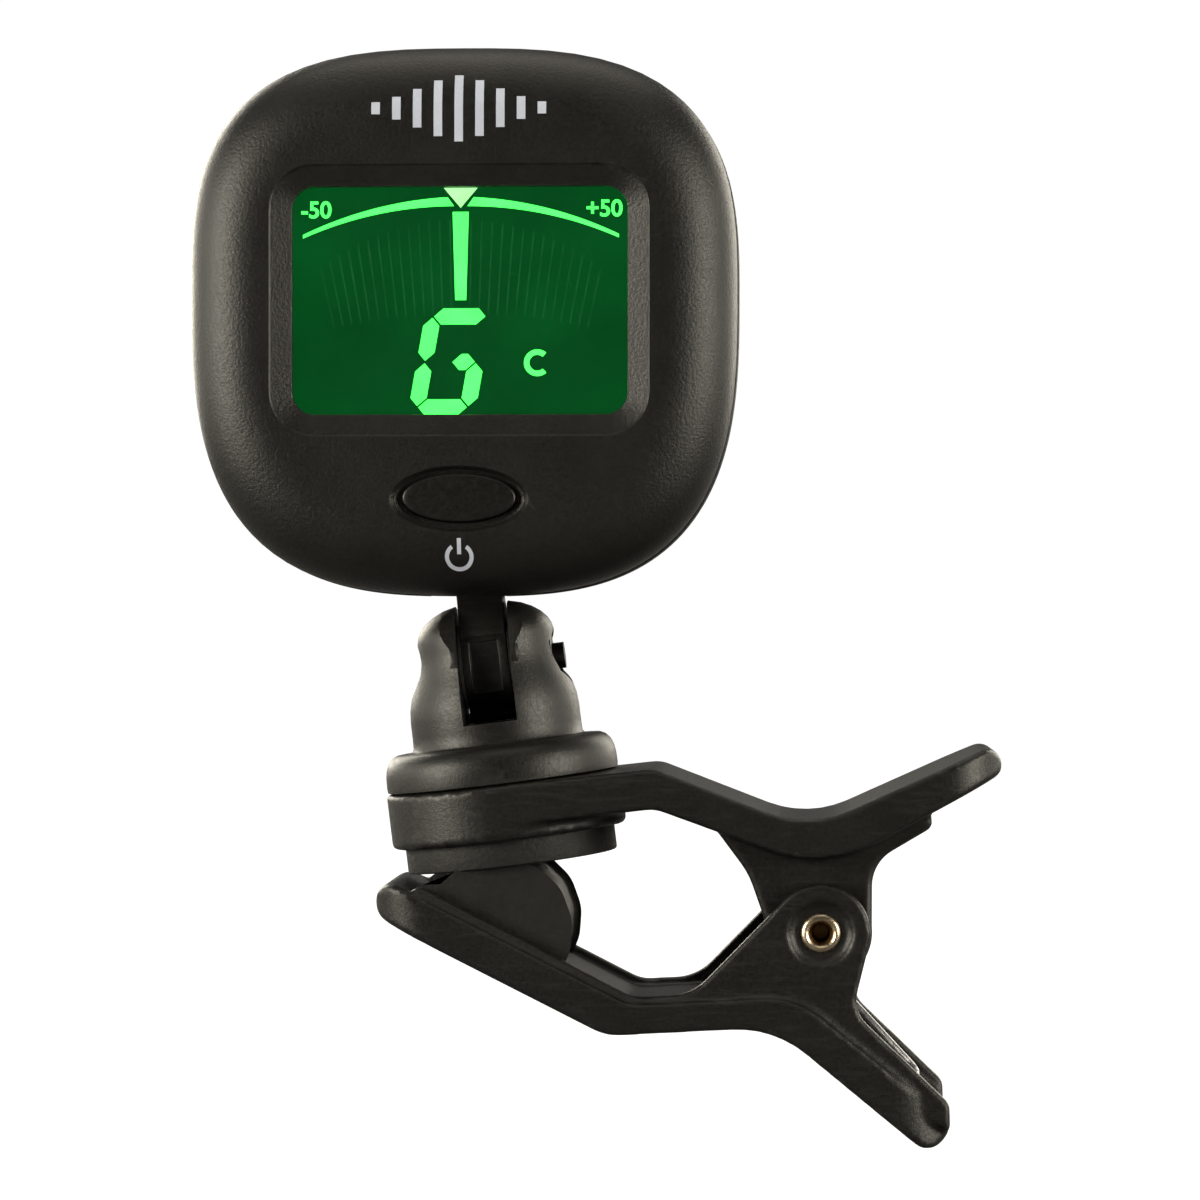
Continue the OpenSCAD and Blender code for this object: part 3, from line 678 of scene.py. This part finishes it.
def flat_piece(name, outlines, made, centre, front=-7.84):
    """Thin flat shapes in the display, one for each outline in X and Z."""
    points, faces = [], []
    for outline in outlines:
        base = len(points)
        for y in (front, -7.8):
            points += [at_head(x + centre[0], y, z + centre[1]) for x, z in outline]
        faces += [tuple(base + k for k in face) for face in ring_faces(len(outline), 2)]
    piece = add_mesh(name, points, faces)
    dress(piece, made)
    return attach(piece, "head")


def band(start, end, height, radius, width, count=40):
    """A curved band between two angles in degrees, about a point at a height."""
    outer, inner = [], []
    for i in range(count + 1):
        a = math.radians(start + (end - start) * (i / count))
        for edge, r in ((outer, radius + width / 2), (inner, radius - width / 2)):
            edge.append((r * math.cos(a), height + r * math.sin(a)))
    return outer + inner[::-1]


def display():
    """The lit display: a dial with a needle, a note in segments and a mode letter."""
    top = DISPLAY_Z + WINDOW_H / 2
    flat_piece("dial_arc", [dial_arc(-1), dial_arc(1)], SEGMENT, (0, top))
    flat_piece("dial_mark", [[(-1.27, 0), (1.27, 0), (0, -1.5)]], BRIGHT, (0, top))
    flat_piece("needle", [[(-0.6, -1.8), (0.6, -1.8), (0.41, -8.4), (-0.41, -8.4)]], SEGMENT,
               (0, top))
    flat_piece("note_letter", note_segments(), SEGMENT, (0, top))
    flat_piece("mode_letter", [band(48, 312, 0, 0.8, 0.4)], SEGMENT, (5.74, top - 13.1))
    ticks = [tick(math.radians(90 - 0.9 * k), 43.6, 50.6 - 0.012 * k * k, (0, -53))
             for k in range(-14, 15) if k]
    flat_piece("resting_ticks", ticks, GHOST, (0, top), -7.82)
    dial_number("-50", -10.85, top - 1.68)
    dial_number("+50", 10.75, top - 1.62)


def dial_arc(side):
    """One half of the dial's arc: a slanted end beside the mark, and a fine outer end."""
    rise, reach = 2.6, 11.85
    radius = (reach ** 2 + rise ** 2) / (2 * rise)
    middle = -1.02 - radius
    outer, inner = [], []
    count = 30
    for i in range(count + 1):
        t = i / count
        half = 0.34 * (1 - 0.65 * t)
        for edge, shift, start in ((outer, half, 0.98), (inner, -half, 0.5)):
            x = start + (reach - start) * t
            edge.append((side * x, middle + math.sqrt((radius + shift) ** 2 - x ** 2)))
    return outer + inner[::-1]


def tick(angle, near, far, centre):
    """One fine radial line of the dial's resting segments."""
    out = Vector((math.cos(angle), math.sin(angle)))
    side = Vector((-out.y, out.x)) * 0.05
    c = Vector(centre)
    points = [c + out * near + side, c + out * far + side, c + out * far - side, c + out * near - side]
    return [(p.x, p.y) for p in points]


def note_segments():
    """The segments of a leaning seven-segment G, each with cut corners."""
    lean, half, gap = 0.177, 0.6, 0.1
    top, mid, low = -9.62, -13.03, -16.42
    left, right = -1.92, 1.92

    def leaning(points):
        return [(-0.77 + x + lean * (z - mid), z) for x, z in points]

    def across(z, x0, x1):
        return [(x0, z), (x0 + half, z + half), (x1 - half, z + half), (x1, z), (x1 - half, z - half),
                (x0 + half, z - half)]

    def along(x, z0, z1):
        return [(x, z0), (x + half, z0 + half), (x + half, z1 - half), (x, z1), (x - half, z1 - half),
                (x - half, z0 + half)]

    return [leaning(across(top, left + gap, right + 0.1)), leaning(along(left, mid + gap, top - gap)),
            leaning(along(left, low + gap, mid - gap)), leaning(across(low, left + gap, right - gap)),
            leaning(along(right, low + gap, mid - gap)), leaning(across(mid, 0.15, right - gap))]


def dial_number(text, x, z):
    """A number of the dial, such as -50, as thin lit shapes."""
    curve = bpy.data.curves.new("number", "FONT")
    curve.body = text
    curve.size = 1.75
    curve.align_x = "CENTER"
    curve.align_y = "CENTER"
    curve.offset = 0.035
    curve.extrude = 0.02
    holder = bpy.data.objects.new("number", curve)
    bpy.context.scene.collection.objects.link(holder)
    bpy.context.view_layer.update()
    mesh = bpy.data.meshes.new_from_object(holder.evaluated_get(bpy.context.evaluated_depsgraph_get()))
    bpy.data.objects.remove(holder)
    turn = Matrix.Rotation(math.radians(90), 4, "X")
    place = Matrix.Translation(at_head(x, -7.82, z)) @ Matrix.Scale(MM, 4) @ turn
    mesh.transform(place)
    piece = bpy.data.objects.new("dial_number_" + ("low" if x < 0 else "high"), mesh)
    bpy.context.scene.collection.objects.link(piece)
    dress(piece, SEGMENT)
    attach(piece, "head")


def printed_marks():
    """Generic prints on the face: a sound wave above the display and a power sign below."""
    bars = []
    for k, h in enumerate((0.9, 1.7, 2.9, 4.2, 5.0, 4.2, 2.9, 1.7, 0.9)):
        x = (k - 4) * 1.55
        left = [(x - 0.32, 15.6 + h * (t / 12 - 0.5)) for t in range(13)]
        right = [(x + 0.32, z) for _, z in reversed(left)]
        bars.append(left + right)
    curved_print("wave_print", bars)
    ring = band(125, 415, -17.8, 0.92, 0.3)
    bar = [(-0.15, -17.6 + 0.2 * k) for k in range(7)] + [(0.15, -16.4 - 0.2 * k) for k in range(7)]
    curved_print("power_print", [ring, bar])


def curved_print(name, outlines):
    """Prints outlines on the face as a thin film that follows the rounded rim. Each outline has
    one side followed by the other, with as many points."""
    points, faces = [], []
    for outline in outlines:
        half = len(outline) // 2
        for near, far in zip(outline[:half], outline[::-1]):
            base = len(points)
            for x, z in (near, far):
                y = FACE + rim_drop(x, z)
                points += [at_head(x, y - 0.012, z), at_head(x, y + 0.02, z)]
            if near == outline[0]:
                faces.append((base, base + 1, base + 3, base + 2))
            else:
                a, b = base - 4, base
                faces += [(a, b, b + 2, a + 2), (a + 1, a + 3, b + 3, b + 1), (a, a + 1, b + 1, b),
                          (a + 2, b + 2, b + 3, a + 3)]
        faces.append((base, base + 2, base + 3, base + 1))
    film = add_mesh(name, points, faces)
    dress(film, PRINT)
    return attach(film, "head")


# ---- Yoke, pads, arms, rivet and spring ----

def yoke():
    """A turned body on a round base, slotted for the neck and rounded about the tilt axis."""
    profile = [(2.5, 5.2), (2.5, 6.18), (8.6, 6.18), (8.86, 6.3), (8.9, 6.6), (8.88, 7.4), (8.78, 8.0),
               (8.58, 8.5), (8.25, 8.87), (7.85, 9.06), (7.4, 9.1), (6.85, 9.12), (6.62, 9.2),
               (6.52, 9.4), (6.5, 10.2), (6.5, 11.4), (6.42, 12.3), (6.2, 13.2), (5.85, 14.2),
               (5.55, 15.0), (5.36, 15.8), (5.28, 16.6), (5.26, 17.3), (5.16, 17.8), (4.9, 18.3),
               (4.45, 18.8), (3.8, 19.25), (3.0, 19.62), (2.1, 19.85), (1.0, 19.97), (0.01, 20.0)]
    body = revolve("yoke_body", profile, at_clip, 128)
    boolean(body, ear_round(), "INTERSECT")
    boolean(body, yoke_slot())
    boolean(body, tilt_bore())
    smooth_by_angle(body, 30)
    soften(body, 0.16, 2, 40)
    dress(body, YOKE)
    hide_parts("yoke")
    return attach(body, "yoke")


def yoke_slot():
    """Cutter for the slot between the ears, with a low rib left on its floor behind the neck."""
    side = [(-12, 10.8), (1.2, 10.8), (1.95, 11.6), (2.6, 11.6), (3.0, 10.8), (12, 10.8),
            (12, 24), (-12, 24)]
    return loft("slot", [[at_clip(u, y, v) for y, v in side] for u in (-2.05, 2.05)])


def ear_round():
    """Keeps the yoke's ears inside a round about the tilt axis, and all that is below it."""
    outline = [(-12, 4), (12, 4), (12, TILT)]
    radius, count = 4.85, 48
    for i in range(count + 1):
        a = math.pi * i / count
        outline.append((radius * math.cos(a), TILT + radius * math.sin(a)))
    outline.append((-12, TILT))
    return loft("round", [[at_clip(u, y, v) for y, v in outline] for u in (-12, 12)])


def tilt_bore():
    """Cutter for the tilt screw's bore, its head's well and the nut's six-sided pocket."""
    rings = []
    count, nut_half, sixth = 48, 2.06, math.pi / 3
    for u, radius in ((-12, 2.2), (-4.9, 2.06), (-3.4, 2.05), (-3.39, 1.0), (3.39, 1.0), (3.4, None),
                      (4.9, None), (12, None)):
        ring = []
        for i in range(count):
            a = TAU * i / count
            r = radius or nut_half / math.cos((a + sixth / 2) % sixth - sixth / 2)
            ring.append(at_clip(u, r * math.cos(a), TILT + r * math.sin(a)))
        rings.append(ring)
    return loft("bore", rings)


def upper_pad():
    """The round rubber pad under the seat, with a soft lower edge."""
    profile = [(0.01, 1.97), (7.9, 1.97), (8.03, 1.93), (8.05, 1.8), (8.05, 0.22), (8.02, 0.1),
               (7.93, 0.03), (7.8, 0.0), (7.0, 0.0), (6.9, 0.06), (6.7, 0.1), (6.5, 0.06), (6.4, 0.0),
               (0.01, 0.0)]
    pad = revolve("upper_pad_rubber", profile, at_clip, 128)
    dress(pad, JAW)
    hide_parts("upper_pad")
    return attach(pad, "clip_upper")


def lower_pad():
    """The arched rubber pad in the lower arm's tray, a little larger at both ends."""
    outline = rounded_outline([(-7.0, -1.6, 0), (-6.6, -1.15, 0.3), (-5.0, -1.3, 0.5), (-3.7, -0.4, 0.8),
                               (-2.6, -0.02, 1.2), (0.3, -0.02, 1.8), (2.1, -0.85, 2.2),
                               (3.35, -2.4, 2.6), (3.85, -4.6, 2.8), (3.45, -6.6, 2.6), (2.5, -8.3, 0),
                               (2.2, -9.3, 0), (-7.0, -2.6, 0)], 5)
    rings = []
    for extra, y in ((0.55, -7.12), (0.3, -7.08), (0.1, -6.95), (0.0, -6.7), (0.0, 6.7), (0.1, 6.95),
                     (0.3, 7.08), (0.55, 7.12)):
        rings.append([at_clip(u, y, v) for u, v in grown(outline, extra)])
    pad = loft("lower_pad_rubber", rings, smooth=40)
    dress(pad, JAW)
    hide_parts("lower_pad")
    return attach(pad, "clip_lower")


def grown(outline, extra):
    """Moves a clockwise outline outwards by a distance, point by point."""
    moved = []
    count = len(outline)
    for i, p in enumerate(outline):
        a, c = Vector(outline[i - 1]), Vector(outline[(i + 1) % count])
        along = (c - a).normalized()
        moved.append((p[0] - along.y * extra, p[1] + along.x * extra))
    return moved


def arm(node, body):
    """One arm of the clip: the CAD solid with its edges and corners blended, as moulding does."""
    source = frame["nodes"][node]
    piece = bpy.data.objects.new(node + "_moulding", source.data.copy())
    piece.matrix_world = source.matrix_world
    bpy.context.scene.collection.objects.link(piece)
    skin = piece.modifiers.new("skin", "REMESH")
    skin.mode = "VOXEL"
    skin.voxel_size = 0.2 * MM
    blend = piece.modifiers.new("blend", "SMOOTH")
    blend.factor = 0.5
    blend.iterations = 20
    apply_modifiers(piece)
    flatten_to(piece, source)
    for face in piece.data.polygons:
        face.use_smooth = True
    dress(piece, ARM)
    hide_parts(node)
    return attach(piece, body)


def flatten_to(piece, source):
    """Lays a blended piece exactly on its source's faces wherever it all but touches them."""
    tree = BVHTree.FromPolygons([v.co for v in source.data.vertices],
                                [p.vertices[:] for p in source.data.polygons])
    touching, fade = 0.015, 0.05
    for vertex in piece.data.vertices:
        near, _, _, gap = tree.find_nearest(vertex.co)
        blended = min(1.0, max(0.0, (gap / MM - touching) / fade))
        vertex.co = near.lerp(vertex.co, blended)


def at_pivot(x, z, y):
    """A point given from the pivot's axis."""
    return (PIVOT + Vector((x, y, z))) * MM


def rivet():
    """The pivot's semi-tubular rivet: rolled rims, and a bore at the front closed by a dark brown cup
    that is painted shade, for the dark inside the hole.
    """
    body = [(0.76, -5.6), (0.76, -7.7), (0.88, -7.95), (0.97, -8.08), (1.1, -8.15), (1.25, -8.13),
            (1.4, -8.03), (1.48, -7.92), (1.44, -7.86), (1.08, -7.84), (1.08, 7.84), (1.44, 7.86),
            (1.48, 7.92), (1.4, 8.05), (1.2, 8.13), (0.6, 8.15), (0.01, 8.15)]
    skin = revolve("rivet_body", body, at_pivot, 64)
    dress(skin, PLATED)
    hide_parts("pivot_rivet")
    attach(skin, "clip_upper")
    # A dark brown cup lines and closes the bore: painted shade where the hole looks dark.
    cup = [(0.01, -6.0), (0.7, -6.0), (0.75, -6.1), (0.75, -7.7), (0.86, -7.94), (0.82, -7.95),
           (0.7, -7.72), (0.66, -6.3), (0.55, -6.15), (0.01, -6.15)]
    bore = revolve("rivet_bore_painted_shade", cup, at_pivot, 64)
    dress(bore, BORE_SHADE)
    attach(bore, "clip_upper")


def wire(name, path, radius=0.45, sides=20):
    """A round wire along a path, with softly rounded ends. Each end has three rings, of rising
    size, that step inwards along the wire."""
    points = [path[0]] * 3 + list(path[1:-1]) + [path[-1]] * 3
    sizes = [0.55, 0.85, 1.0] + [1.0] * (len(path) - 2) + [1.0, 0.85, 0.55]
    steps = [0.0, 0.05, 0.16] + [0.0] * (len(path) - 2) + [-0.16, -0.05, 0.0]
    side = (path[1] - path[0]).orthogonal()
    rings = []
    for i, p in enumerate(points):
        k = min(max(i - 2, 0), len(path) - 1)
        along = (path[min(k + 1, len(path) - 1)] - path[max(k - 1, 0)]).normalized()
        side = (side - along * side.dot(along)).normalized()
        up = along.cross(side)
        centre = p + along * steps[i] * MM
        rings.append([centre + (side * math.cos(TAU * n / sides) + up * math.sin(TAU * n / sides))
                      * radius * sizes[i] * MM for n in range(sides)])
    return loft(name, rings, smooth=50)


def bent(corners, radius, count=10):
    """A path through corners, with a round bend at each inner one."""
    path = [corners[0]]
    for a, b, c in zip(corners, corners[1:], corners[2:]):
        start = b + (a - b).normalized() * radius * MM
        end = b + (c - b).normalized() * radius * MM
        for i in range(count + 1):
            t = i / count
            path.append(start * (1 - t) ** 2 + b * 2 * t * (1 - t) + end * t * t)
    return path + [corners[-1]]


def spring():
    """The pivot's torsion spring. Its coil sits between the arms, fixed in place, and each leg stays
    with the arm that it presses."""
    u0, v0 = PIVOT.dot(CLIP_RIGHT), PIVOT.dot(CLIP_UP)
    upper_end, lower_end = (31.3, -0.6), (28.45, -19.7)
    turns, pitch, size, foot = 4, 0.954, 2.4, 3.2

    def touching(end, way):
        """Where on the coil a straight leg to an end leaves it."""
        reach = Vector((end[0] - u0, end[1] - v0))
        return math.atan2(reach.y, reach.x) + way * math.acos(size / reach.length)

    first = touching(upper_end, 1)
    last = touching(lower_end, -1) + TAU * (turns + 1)
    half = pitch * (last - first) / TAU / 2

    def on_coil(angle):
        y = -half + 2 * half * (angle - first) / (last - first)
        return at_clip(u0 + size * math.cos(angle), y, v0 + size * math.sin(angle))

    count = 40 * (turns + 1)
    coil = wire("spring_coil", [on_coil(first + (last - first) * i / count) for i in range(count + 1)])
    upper = wire("spring_upper_leg", bent([on_coil(first), at_clip(upper_end[0], -half, upper_end[1]),
                                           at_clip(upper_end[0], foot - half, upper_end[1])], 0.8))
    lower = wire("spring_lower_leg", bent([on_coil(last), at_clip(lower_end[0], half, lower_end[1]),
                                           at_clip(lower_end[0], half - foot, lower_end[1])], 0.8))
    for piece in (coil, upper, lower):
        dress(piece, SPRING)
    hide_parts("torsion_spring")
    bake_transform(coil)
    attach(upper, "clip_upper")
    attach(lower, "clip_lower")


# ---- Carried-over CAD nodes ----

def carried_nodes():
    """Rounds the edges of the neck and the screws, and gives the CAD nodes that stay their materials."""
    soften_node("neck", 0.25, 3)
    for name in ("tilt_screw", "tilt_nut", "swivel_screw", "roll_screw", "housing_screws"):
        soften_node(name, 0.08, 2)
    dress_nodes(ARM, "neck")
    dress_nodes(BRASS, "sensor_plate", "positive_contact", "negative_contact")
    dress_nodes(BLACK_STEEL, "tilt_screw", "tilt_nut")
    dress_nodes(STEEL, "swivel_screw", "swivel_washer", "roll_screw",
                "roll_washer", "housing_screws")
    dress_nodes(WHITE, "friction_washers", "switch_plunger")
    dress_nodes(LENS, "display_lens", "backlight_leds")
    dress_nodes(PANEL, "lcd_panel")
    dress_nodes(GUIDE, "backlight_guide")
    dress_nodes(STRIP, "lcd_connectors")
    dress_nodes(BOARD, "circuit_board")
    dress_nodes(CHIP, "controller_chip", "tact_switch")
    dress_nodes(TIN, "crystal", "coin_cell")
    dress_nodes(CERAMIC, "board_parts", "sensor_ceramic")


# ---- Stage ----

def aim(thing, target):
    """Points a camera or a light at a target."""
    thing.rotation_euler = (Vector(target) - thing.location).to_track_quat("-Z", "Y").to_euler()


def camera():
    """The photograph's view: level, and a little to the right of the display's axis. Width is what
    the picture spans at the object."""
    width = 91.9 * MM
    distance = 330 * MM
    turn = math.radians(2.6)
    target = Vector((6.67, 0, 19.99)) * MM
    lens = bpy.data.cameras.new("camera")
    lens.sensor_width = 36
    lens.lens = 36 * distance / width
    lens.clip_start = 0.01
    holder = bpy.data.objects.new("camera", lens)
    holder.location = target + distance * Vector((math.sin(turn), -math.cos(turn), 0))
    aim(holder, target)
    bpy.context.scene.collection.objects.link(holder)
    bpy.context.scene.camera = holder


def softbox(name, azimuth, elevation, distance, width, height, power):
    """A soft warm rectangular light that looks at the object. Azimuth 0 is the camera's side."""
    target = Vector((0.005, 0, 0.02))
    light = bpy.data.lights.new(name, "AREA")
    light.shape = "RECTANGLE"
    light.size = width
    light.size_y = height
    light.energy = power
    light.color = (1.0, 0.94, 0.8)
    holder = bpy.data.objects.new(name, light)
    a, e = math.radians(azimuth), math.radians(elevation)
    away = Vector((math.sin(a) * math.cos(e), -math.cos(a) * math.cos(e), math.sin(e)))
    holder.location = target + away * distance
    aim(holder, target)
    bpy.context.scene.collection.objects.link(holder)


def seen_white(nodes, links, space, low, high, start, end):
    """A strength of light that rises along Y, and is full where it is looked at directly."""
    where = nodes.new("ShaderNodeTexCoord")
    split = nodes.new("ShaderNodeSeparateXYZ")
    links.new(where.outputs[space], split.inputs[0])
    strength = spread(nodes, links, split.outputs["Y"], low, high, start, end)
    path = nodes.new("ShaderNodeLightPath")
    glow = nodes.new("ShaderNodeMath")
    glow.operation = "MAXIMUM"
    links.new(path.outputs["Is Camera Ray"], glow.inputs[0])
    links.new(strength, glow.inputs[1])
    return glow.outputs[0]


def studio():
    """Warm boxes at both sides, each with a weaker wing behind it, two weak ones above and two
    for the object's back, in a room that is dark in front of the object and paler behind it. The
    room itself looks white to the camera."""
    softbox("left box", -62, 7, 0.6, 0.28, 0.36, 6.2)
    softbox("left wing", -105, 8, 0.7, 0.5, 0.4, 1.6)
    softbox("right box", 64, 7, 0.6, 0.32, 0.36, 5.2)
    softbox("right wing", 110, 8, 0.7, 0.45, 0.4, 1.2)
    softbox("top box", 0, 72, 0.6, 0.5, 0.3, 0.7)
    softbox("back box", 180, 74, 0.6, 0.5, 0.3, 1.0)
    softbox("back left box", -148, 16, 0.6, 0.26, 0.3, 2.0)
    softbox("back right box", 148, 16, 0.6, 0.26, 0.3, 1.3)
    world = bpy.data.worlds.new("studio")
    bpy.context.scene.world = world
    world.use_nodes = True
    nodes, links = world.node_tree.nodes, world.node_tree.links
    sky = nodes["Background"]
    sky.inputs["Color"].default_value = (1, 1, 1, 1)
    glow = seen_white(nodes, links, "Generated", 0.02, 0.2, -0.35, 0.3)
    links.new(glow, sky.inputs["Strength"])
    bpy.context.scene.view_settings.view_transform = "Standard"


def floor():
    """A sweep: a floor that curves up into a far backdrop. It looks white to the camera, and throws
    little light back at the object."""
    low = -28.5 * MM
    far, bend, side = 1.6, 0.5, 2.6
    profile = [(-1.2, low), (0.0, low), (0.5, low), (far, low)]
    steps = 12
    for i in range(1, steps + 1):
        a = math.pi / 2 * i / steps
        profile.append((far + bend * math.sin(a), low + bend * (1 - math.cos(a))))
    profile.append((far + bend, 2.4))
    points, faces = [], []
    for y, z in profile:
        points += [Vector((-side, y, z)), Vector((side, y, z))]
    for i in range(len(profile) - 1):
        faces.append((2 * i, 2 * i + 1, 2 * i + 3, 2 * i + 2))
    sweep = add_mesh("floor", points, faces)
    made, nodes, links, shader = new_material("floor")
    speck = noise(nodes, links, 0.02)
    links.new(tint(nodes, links, spread(nodes, links, speck, 0, 1), (0.1, 0.1, 0.1), (0.12, 0.12, 0.12)),
              shader.inputs["Base Color"])
    shader.inputs["Roughness"].default_value = 0.9
    shader.inputs["Emission Color"].default_value = (1, 1, 1, 1)
    glow = seen_white(nodes, links, "Object", 0.01, 0.12, 0.4, 1.4)
    links.new(glow, shader.inputs["Emission Strength"])
    dress(sweep, made)


camera()
studio()
floor()
front_shell()
rear_shell()
power_button()
battery_cap()
display()
printed_marks()
yoke()
upper_pad()
lower_pad()
arm("upper_arm", "clip_upper")
arm("lower_arm", "clip_lower")
rivet()
spring()
carried_nodes()
